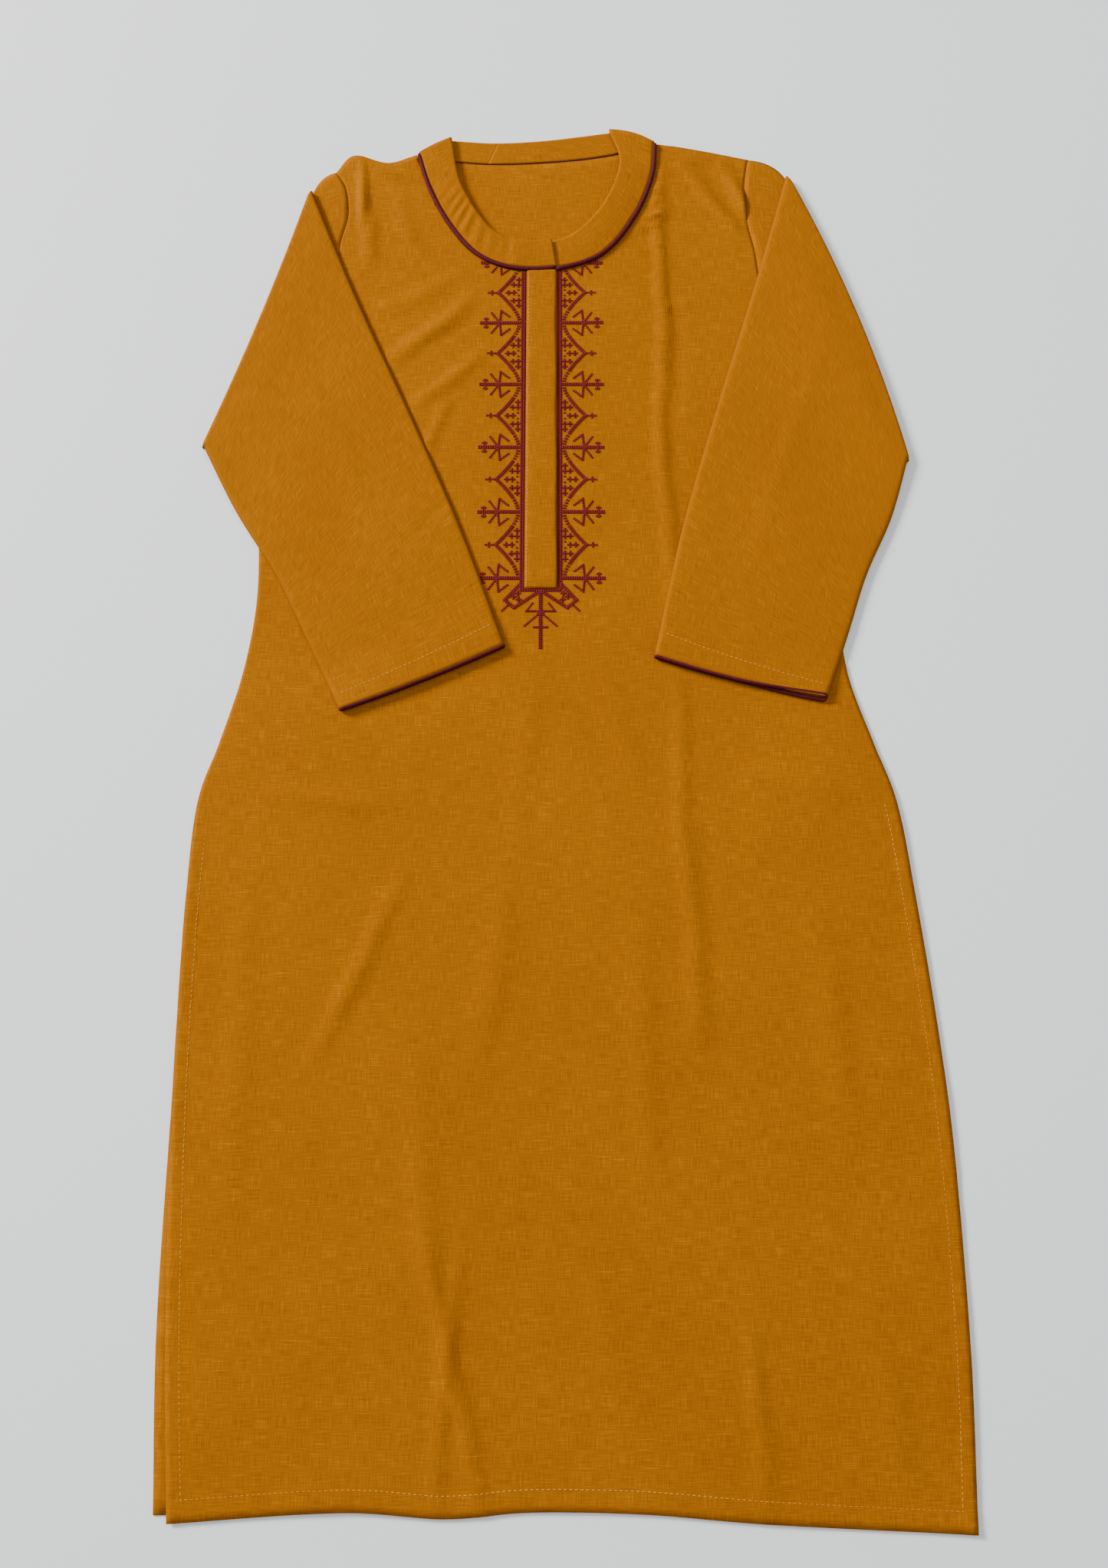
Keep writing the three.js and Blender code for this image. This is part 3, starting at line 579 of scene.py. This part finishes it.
def sleeve_line(sleeve, share, across):
    """Plan points across the folded sleeve, from the top of the arm to the underarm seam."""
    top = at_share(curve(sleeve["top"], 60), share)
    under = at_share(curve(sleeve["under"], 60), share)
    outward = sleeve_outward(top, under, sleeve["side"])
    bow = np.interp(share * 4, range(5), sleeve["bow"])
    return top + across[:, None] * (under - top) + (bow * 4 * across * (1 - across))[:, None] * outward


def sleeve_rise(x, y, share, across, side):
    """Slack in the sleeve's upper layer once it is folded over."""
    middle = np.sin(math.pi * across) ** 0.6
    rise = 0.9 * middle + 0.8 * middle * np.maximum(soft_noise(x, y, 150, 20 + side), -0.5)
    crease = np.exp(-(((share - 0.70 - 0.06 * across) / 0.012) ** 2)) * np.exp(-((across / 0.32) ** 2))
    fold_reach = smoothstep(share, 0.0, 0.3) * (1 - smoothstep(share, 0.5, 0.9))
    long_fold = np.exp(-(((across - 0.42) / 0.05) ** 2)) * fold_reach
    return rise - 0.6 * crease * (side < 0) + 0.5 * long_fold


def make_sleeve(name):
    sleeve = SLEEVES[name]
    side = sleeve["side"]
    half_count = 56
    around = np.concatenate([np.linspace(0, 1, half_count + 1), np.linspace(1, 0, half_count + 1)[1:-1]])
    across = 0.5 - 0.5 * np.cos(math.pi * around)
    across = 0.25 * across + 0.75 * around
    layer = np.concatenate([np.ones(half_count + 1), -np.ones(half_count - 1)])
    sleeve_width = 200
    edge = np.minimum(across, 1 - across) * sleeve_width
    round_end = np.sqrt(1 - (1 - np.clip(edge / 5, 0, 1)) ** 2) * layer

    seam = at_share(moved_left(curve(sleeve["armhole"], 80), side * 0.1), across)
    fold_line = sleeve_line(sleeve, 0.0, across)
    outward = sleeve_outward(np.array(sleeve["top"][0], float), np.array(sleeve["under"][0], float), side)
    cap_shift = np.array(sleeve["cap"], float) - 0.5 * (seam[0] + fold_line[0])
    rings, along = [], []
    for s in np.linspace(0, 1, 12)[:-1]:
        plan = (1 - s) * seam + s * fold_line + (4 * s * (1 - s) * (1 - across) ** 3)[:, None] * cap_shift
        puff = np.maximum(layer, 0) * math.sin(math.pi * min(1, s + 0.12)) * np.sin(math.pi * across) ** 0.5
        ripple = 1 + 0.8 * np.sin(across * 38 + side) * np.exp(-across * 5)
        height = SLEEVE_MIDDLE + SLEEVE_HALF * round_end + 0.45 * puff * ripple
        rings.append(np.column_stack([plan, height]))
        along.append(-28 * (1 - s))
    for turn in np.linspace(0, math.pi, 13):
        radius = SLEEVE_FOLD_RADIUS - SLEEVE_HALF * round_end
        plan = fold_line + (radius * math.sin(turn))[:, None] * outward
        rings.append(np.column_stack([plan, SLEEVE_MIDDLE + SLEEVE_FOLD_RADIUS - radius * math.cos(turn)]))
        along.append(SLEEVE_FOLD_RADIUS * turn)
    folded_over = SLEEVE_MIDDLE + 2 * SLEEVE_FOLD_RADIUS
    for share in np.linspace(0, 1, 120)[1:]:
        half = SLEEVE_HALF + (CUFF_HALF - SLEEVE_HALF) * smoothstep(share, 0.86, 1)
        settled = SLEEVE_REST + CLOTH / 2 + half
        height = folded_over + (settled - folded_over) * smoothstep(share, 0, 0.28)
        plan = sleeve_line(sleeve, share, across)
        lift = np.where(layer < 0, sleeve_rise(plan[:, 0], plan[:, 1], share, across, side), 0)
        lift *= smoothstep(share, 0, 0.12) * (1 - 0.7 * smoothstep(share, 0.9, 1))
        rings.append(np.column_stack([plan, height - half * round_end + lift * np.abs(round_end)]))
        along.append(8 + 370 * share)
    net = np.stack(rings)
    width = np.linalg.norm(net[:, 0, :2] - net[:, half_count, :2], axis=1)
    layer_shift = 400  # keeps the two layers' threads apart on the cloth map
    map_across = across[None] * width[:, None] + layer_shift * (layer < 0)[None]
    uv = np.dstack([map_across, np.tile(np.array(along)[:, None], (1, len(across)))])
    piece = cloth_net(f"sleeve_cloth_{name}", net, uv, mustard, around=True)
    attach(piece, "root")
    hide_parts(f"sleeve_{name}")
    return piece


def cuff_loop(sleeve):
    top, under = np.array(sleeve["top"][-1], float), np.array(sleeve["under"][-1], float)
    outward = sleeve_outward(top, under, sleeve["side"])
    inset = 2.4 / np.linalg.norm(under - top)
    run = sleeve_line(sleeve, 1.0, np.linspace(inset, 1 - inset, 60)) - outward * 0.6
    middle = SLEEVE_REST + CLOTH / 2 + CUFF_HALF
    along = (under - top) / np.linalg.norm(under - top)
    gape = 4.5 * smoothstep(np.linspace(0, 1, 60), 0.45, 1) * (sleeve["side"] > 0)
    over = np.column_stack([run + gape[:, None] * outward * 0.55, np.full(60, middle + 1.45)])
    below = np.column_stack([run - gape[:, None] * outward * 0.4, np.full(60, middle - 1.45)])
    turns = []
    for first, second, sign in ((over[-1], below[-1], 1), (below[0], over[0], -1)):
        points = []
        for angle in np.linspace(0, math.pi, 7)[1:-1]:
            share = 0.5 - 0.5 * math.cos(angle)
            point = first + share * (second - first)
            point[:2] += sign * along * 1.45 * math.sin(angle)
            points.append(point)
        turns.append(np.array(points))
    return np.concatenate([over, turns[0], below[::-1], turns[1]]), outward


def make_cuff_piping(name):
    loop, outward = cuff_loop(SLEEVES[name])
    piece = tube_piece(f"cuff_cord_{name}", loop, CUFF_PIPING_RADIUS, cord_cloth, closed=True,
                       toward=(outward[0], outward[1], 0.001))
    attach(piece, "root")
    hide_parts(f"cuff_piping_{name}")
    return piece


# ---- Neck band and piping ---------------------------------------------------------------------
def band_net(front_end, fold_share, rises, back_end, side):
    seam_line = moved_left(front_neck_line, PIPING_RADIUS - 0.4)
    edge_line = curve(BAND_EDGE, 120)
    back_seam = moved_left(back_neck_line, 0.6)
    back_edge = curve(BACK_BAND_EDGE, 90)
    shares, seam_rise, edge_rise = np.array(rises, float).T
    across = np.linspace(0, 1, 13)
    rows = []
    for share in np.linspace(front_end, fold_share, 110):
        seam, edge = at_share(seam_line, share), at_share(edge_line, share)
        low, high = np.interp(share, shares, seam_rise), np.interp(share, shares, edge_rise)
        plan = seam + across[:, None] * (edge - seam)
        pucker = np.sin(share * 170 + 1.5 * np.sin(share * 31)) * np.exp(-(((share - 0.25) / 0.09) ** 2))
        pucker = pucker * np.sin(math.pi * across) * (0.75 if side > 0 else 0.1)
        crown = 0.5 * np.sin(math.pi * across)
        rows.append(np.column_stack([plan, low + (high - low) * across + crown + np.maximum(pucker, -0.4)]))
    seam, edge = at_share(seam_line, fold_share), at_share(edge_line, fold_share)
    along = (edge - seam) / np.linalg.norm(edge - seam)
    outward = side * np.array([-along[1], along[0]])
    bulge_shape = 1 + (1.6 if side < 0 else 0.5) * np.sin(math.pi * across)
    for turn in np.linspace(0, math.pi, 12)[1:]:
        height = BACK_MIDDLE + 0.4 + BAND_FOLD_RADIUS * (1 + math.cos(turn)) * (1 - 0.08)
        plan = seam + across[:, None] * (edge - seam)
        plan = plan + (BAND_FOLD_RADIUS * math.sin(turn) * bulge_shape)[:, None] * outward
        rows.append(np.column_stack([plan, np.full(13, height)]))
    for share in np.linspace(fold_share, back_end, 60)[2:]:
        seam, edge = at_share(back_seam, share), at_share(back_edge, share)
        plan = seam + across[:, None] * (edge - seam)
        rows.append(np.column_stack([plan, BACK_MIDDLE + 0.9 - 0.5 * across]))
    net = np.stack(rows)
    travel = np.concatenate([[0], np.cumsum(np.linalg.norm(np.diff(net[:, 6], axis=0), axis=1))])
    uv = np.dstack([np.tile(travel[:, None], (1, 13)), np.tile(across[None] * 31, (len(net), 1))])
    return net, uv


def make_band(name, front_end, fold_share, rises, back_end, side):
    net, uv = band_net(front_end, fold_share, rises, back_end, side)
    piece = cloth_net(f"band_cloth_{name}", net, uv, mustard, thickness=1.0)
    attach(piece, "root")
    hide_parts(f"neck_band_{name}")
    return piece


def make_neck_piping():
    for name, low, high in (("left", 0.0, 0.5265), ("right", 0.5275, 1.0)):
        share = np.linspace(low, high, 90)
        plan = at_share(front_neck_line, share)
        height = 3.3 + 1.2 * np.exp(-share / 0.05) + 1.2 * np.exp(-(1 - share) / 0.05)
        if name == "right":
            plan[:, 1] -= 1.6 * np.exp(-(share - low) / 0.03)
        else:
            height += 0.5 * smoothstep(share, 0.42, 0.5)
        line = np.column_stack([plan, height])
        piece = tube_piece(f"neck_cord_{name}", line, PIPING_RADIUS, cord_cloth, tapered=True)
        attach(piece, "root")
        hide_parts(f"neck_piping_{name}")
    line = at_share(back_neck_line, np.linspace(0.02, 0.98, 80))
    low, high = line, moved_left(line, 3.0)
    rows = [np.column_stack([low + k * (high - low), np.full(80, 0.34 + 0.18 * math.sin(math.pi * k))])
            for k in np.linspace(0, 1, 6)]
    piece = new_piece("neck_cord_back", np.stack(rows, axis=1).reshape(-1, 3), net_faces(80, 6), cord_cloth)
    thicken(piece, 0.5)
    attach(piece, "root")
    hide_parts("neck_piping_back")


# ---- Placket ----------------------------------------------------------------------------------
def strip_net(low, high, left, right, height, rounding):
    rows, columns = 150, 16
    v, u = np.linspace(0, 1, rows)[:, None], np.linspace(0, 1, columns)[None]
    y = low + (high - low) * v + 0 * u
    x_left, x_right = left[0] + (left[1] - left[0]) * v, right[0] + (right[1] - right[0]) * v
    x = x_left + (x_right - x_left) * u + 0.35 * np.sin(v * 21) * u
    drop = rounding * (np.exp(-u * 14) + 0.3 * np.exp(-(1 - u) * 16))
    ripple = 0.16 * np.sin(v * 37 + 2 * np.sin(v * 9)) * np.sin(math.pi * u)
    foot = rounding * np.exp(-v * 60)
    return np.dstack([x, y, height - drop - foot + ripple]), np.dstack([x, y])


def make_placket():
    net, uv = strip_net(*PLACKET_Y, PLACKET_LEFT, PLACKET_RIGHT, PLACKET_MIDDLE, 0.9)
    piece = cloth_net("placket_cloth", net, uv, mustard, thickness=0.9)
    hidden, hidden_uv = strip_net(138, 424, (-22, -22), (-2, -2), UNDERLAP_MIDDLE - 0.1, 0.1)
    underlap = cloth_net("underlap_cloth", hidden, hidden_uv, mustard, thickness=0.5)
    for cloth, node in ((piece, "placket"), (underlap, "placket_underlap")):
        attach(cloth, "root")
        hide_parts(node)
    return piece, underlap


# ---- Stitching --------------------------------------------------------------------------------
def inset_edge(points, distance, low=None):
    line = moved_left(curve(points, 120), distance)
    return line if low is None else line[line[:, 1] < low]


def make_stitches():
    threads = Threads()
    hem = moved_left(curve(FRONT_HEM, 160), HEM_DEPTH)[2:-2]
    left = inset_edge([FRONT_HEM[0]] + [(row[1], row[0]) for row in BODY[:5]], -SLIT_DEPTH, SLIT_TOP)
    right = inset_edge([FRONT_HEM[-1]] + [(row[3], row[0]) for row in BODY[:5]], SLIT_DEPTH, SLIT_TOP)
    for line in (hem, left, right):
        threads.run(front_top(line[:, 0], line[:, 1], 0.0), radius=0.24)
    for sleeve in SLEEVES.values():
        across = np.linspace(0.03, 0.97, 60)
        plan = sleeve_line(sleeve, CUFF_STITCH, across)
        half = SLEEVE_HALF + (CUFF_HALF - SLEEVE_HALF) * smoothstep(CUFF_STITCH, 0.86, 1)
        middle = SLEEVE_REST + CLOTH / 2 + half
        rise = sleeve_rise(plan[:, 0], plan[:, 1], CUFF_STITCH, across, sleeve["side"])
        rise = rise * (1 - 0.7 * smoothstep(CUFF_STITCH, 0.9, 1))
        threads.run(np.column_stack([plan, middle + half + rise + CLOTH / 2]), radius=0.26)
    y = np.linspace(PLACKET_Y[0] + 2, PLACKET_Y[1] - 3, 120)
    left_x = np.interp(y, PLACKET_Y, PLACKET_LEFT) + 1.6
    threads.run(np.column_stack([left_x, y, np.full(120, PLACKET_MIDDLE + 0.12)]), 2.2, 1.1, 0.2)
    piece = threads.piece("seam_stitches", seam_thread)
    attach(piece, "root")


# ---- Cross stitch -------------------------------------------------------------------------------
CELL = 2.09           # one cross of the chart
REPEAT = 28           # crosses from one tree to the next
LINE_WIDTH = 3.6      # of the bold line that frames the placket, in millimetres
TREES_Y = (140.5, 199, 257.5, 316, 374.5, 433)
EMBROIDERY_TOP = 428.0
PENDANT_X = -12.0


def line_cells(c0, k0, c1, k1, bold=False):
    """Crosses along a straight run of the chart; a bold run is two rows close together."""
    along = np.array([c1 - c0, k1 - k0], float)
    length = np.hypot(*along)
    aside = 0.32 * np.array([-along[1], along[0]]) / length if bold else np.zeros(2)
    count = max(1, round(length / 0.9))
    cells = []
    for step in range(count + 1):
        place = np.array([c0, k0]) + along * step / count
        cells += [tuple(place + aside), tuple(place - aside)] if bold else [tuple(place)]
    return cells


def plus_cells(c, k, reach=0.8):
    return [(c, k)] + [(c + a * reach, k + b * reach) for a, b in ((1, 0), (-1, 0), (0, 1), (0, -1))]


def tree_chart():
    """A tree lying across the border: trunk, star of arms and a crossed tip."""
    cells = line_cells(0.4, 0, 16.6, 0, bold=True) + plus_cells(8.9, 0, 1.0)
    for s in (1, -1):
        cells += line_cells(8.9, 0, 8.3, 5.6 * s)
        cells += line_cells(8.3, 5.6 * s, 4.9, 2.9 * s)
        cells += line_cells(8.9, 0, 12.2, 4.5 * s)
        cells += [(14.5, 1.0 * s), (14.5, 2.1 * s), (13.9, 1.8 * s), (15.1, 1.8 * s)]
    return cells


def arch_chart():
    """The pointed arch between two trees, about its own middle; its legs curve round the trees."""
    half = REPEAT / 2 - 1.6
    cells = line_cells(9.6, 0, 13.6, 0) + [(12.2, 0.8), (12.2, -0.8)]
    cells += plus_cells(5.4, 0) + plus_cells(3.2, 0)
    for s in (1, -1):
        legs = [(1.0 + 8.6 * (1 - share) ** 1.45, s * half * share) for share in np.linspace(0, 1, 12)]
        for low, high in zip(legs[:-1], legs[1:]):
            cells += line_cells(*low, *high, bold=True)[:4]
        cells += plus_cells(1.2, 6.0 * s) + plus_cells(1.2, 3.6 * s)
        cells += plus_cells(3.3, 3.7 * s) + [(1.2, 1.3 * s)]
    return cells


def pendant_chart():
    """The tree that hangs below the placket, in crosses from the top of its trunk."""
    cells = line_cells(0, -1, 0, -24.5, bold=True) + plus_cells(0, -10, 1.0)
    for s in (1, -1):
        cells += line_cells(0.5 * s, -1.2, 10.4 * s, -8, bold=True)
        cells += line_cells(8.2 * s, 1.6, 14 * s, -4.8, bold=True)
        cells += line_cells(14 * s, -4.8, 10.4 * s, -8, bold=True)
        cells += line_cells(12.4 * s, -6.6, 15.0 * s, -9.2)
        cells += plus_cells(10.6 * s, -3.4) + plus_cells(8.6 * s, -4.6) + plus_cells(8.9 * s, -2.0)
        cells += line_cells(0.6 * s, -9.4, 5.6 * s, -9.4) + line_cells(5.6 * s, -9.4, 3.2 * s, -6.2)
        cells += line_cells(0.6 * s, -10.4, 6.2 * s, -15.4) + line_cells(s, -16, 2.6 * s, -16)
    return cells


def make_embroidery():
    threads = Threads()
    placed = []
    for side, edge in ((-1, -25.6), (1, 1.9)):
        for column in (0.7, 2.8):
            for y in np.arange(PLACKET_Y[0] - 0.4, EMBROIDERY_TOP, 0.9 * CELL):
                placed.append((edge + side * column, y, 1.1))
        for tree_y in TREES_Y:
            for c, k in tree_chart():
                placed.append((edge + side * (LINE_WIDTH + c * CELL), tree_y + k * CELL, 0.9))
        for low, high in zip(TREES_Y[:-1], TREES_Y[1:]):
            centre = 0.5 * (low + high)
            for c, k in arch_chart():
                placed.append((edge + side * (LINE_WIDTH + c * CELL), centre + k * CELL, 0.8))
    for x in np.arange(PLACKET_LEFT[0] - 3, PLACKET_RIGHT[0] + 4, 0.9 * CELL):
        placed += [(x, PLACKET_Y[0] - 0.4, 1.1), (x, PLACKET_Y[0] - 1.9, 1.0)]
    placed += [(PENDANT_X + c * CELL, PLACKET_Y[0] + k * CELL, 0.85) for c, k in pendant_chart()]
    spot = np.array(placed)
    neck_away = away_from(spot[:, :2], front_neck_line)
    beyond_neck = (spot[:, 1] > 415) & (neck_away < 2.2)
    above = spot[:, 1] > np.interp(spot[:, 0], front_neck_line[:, 0], front_neck_line[:, 1]) - 1.5
    under_sleeve = sleeve_depth(spot[:, 0], spot[:, 1]) > 0.5
    spot = spot[~(beyond_neck | above | under_sleeve)]
    base = front_top(spot[:, 0], spot[:, 1], 0.12)
    for (x, y, scale), point in zip(spot, base):
        reach = 0.52 * CELL * scale
        turn = rng.normal(0, 0.09)
        cos_turn, sin_turn = math.cos(turn), math.sin(turn)
        for order, (a, b) in enumerate(((1, 1), (1, -1))):
            arm = np.array([reach * (a * cos_turn - b * sin_turn), reach * (a * sin_turn + b * cos_turn), 0])
            lift = np.array([0, 0, 0.26 * order])
            threads.add(point - arm + lift, point + arm + lift, 0.5)
    piece = threads.piece("cross_stitch", floss)
    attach(piece, "root")


# ---- Making the garment -------------------------------------------------------------------------
front = make_front()
back = make_back()
sleeves = {name: make_sleeve(name) for name in SLEEVES}
for name in SLEEVES:
    make_cuff_piping(name)
band_left = make_band("left", TAB_END, 0.0, LEFT_BAND_RISE, CENTRE_BACK, 1)
band_right = make_band("right", UNDER_TAB_END, 1.0, RIGHT_BAND_RISE, CENTRE_BACK, -1)
make_neck_piping()
placket, underlap = make_placket()
make_stitches()
make_embroidery()
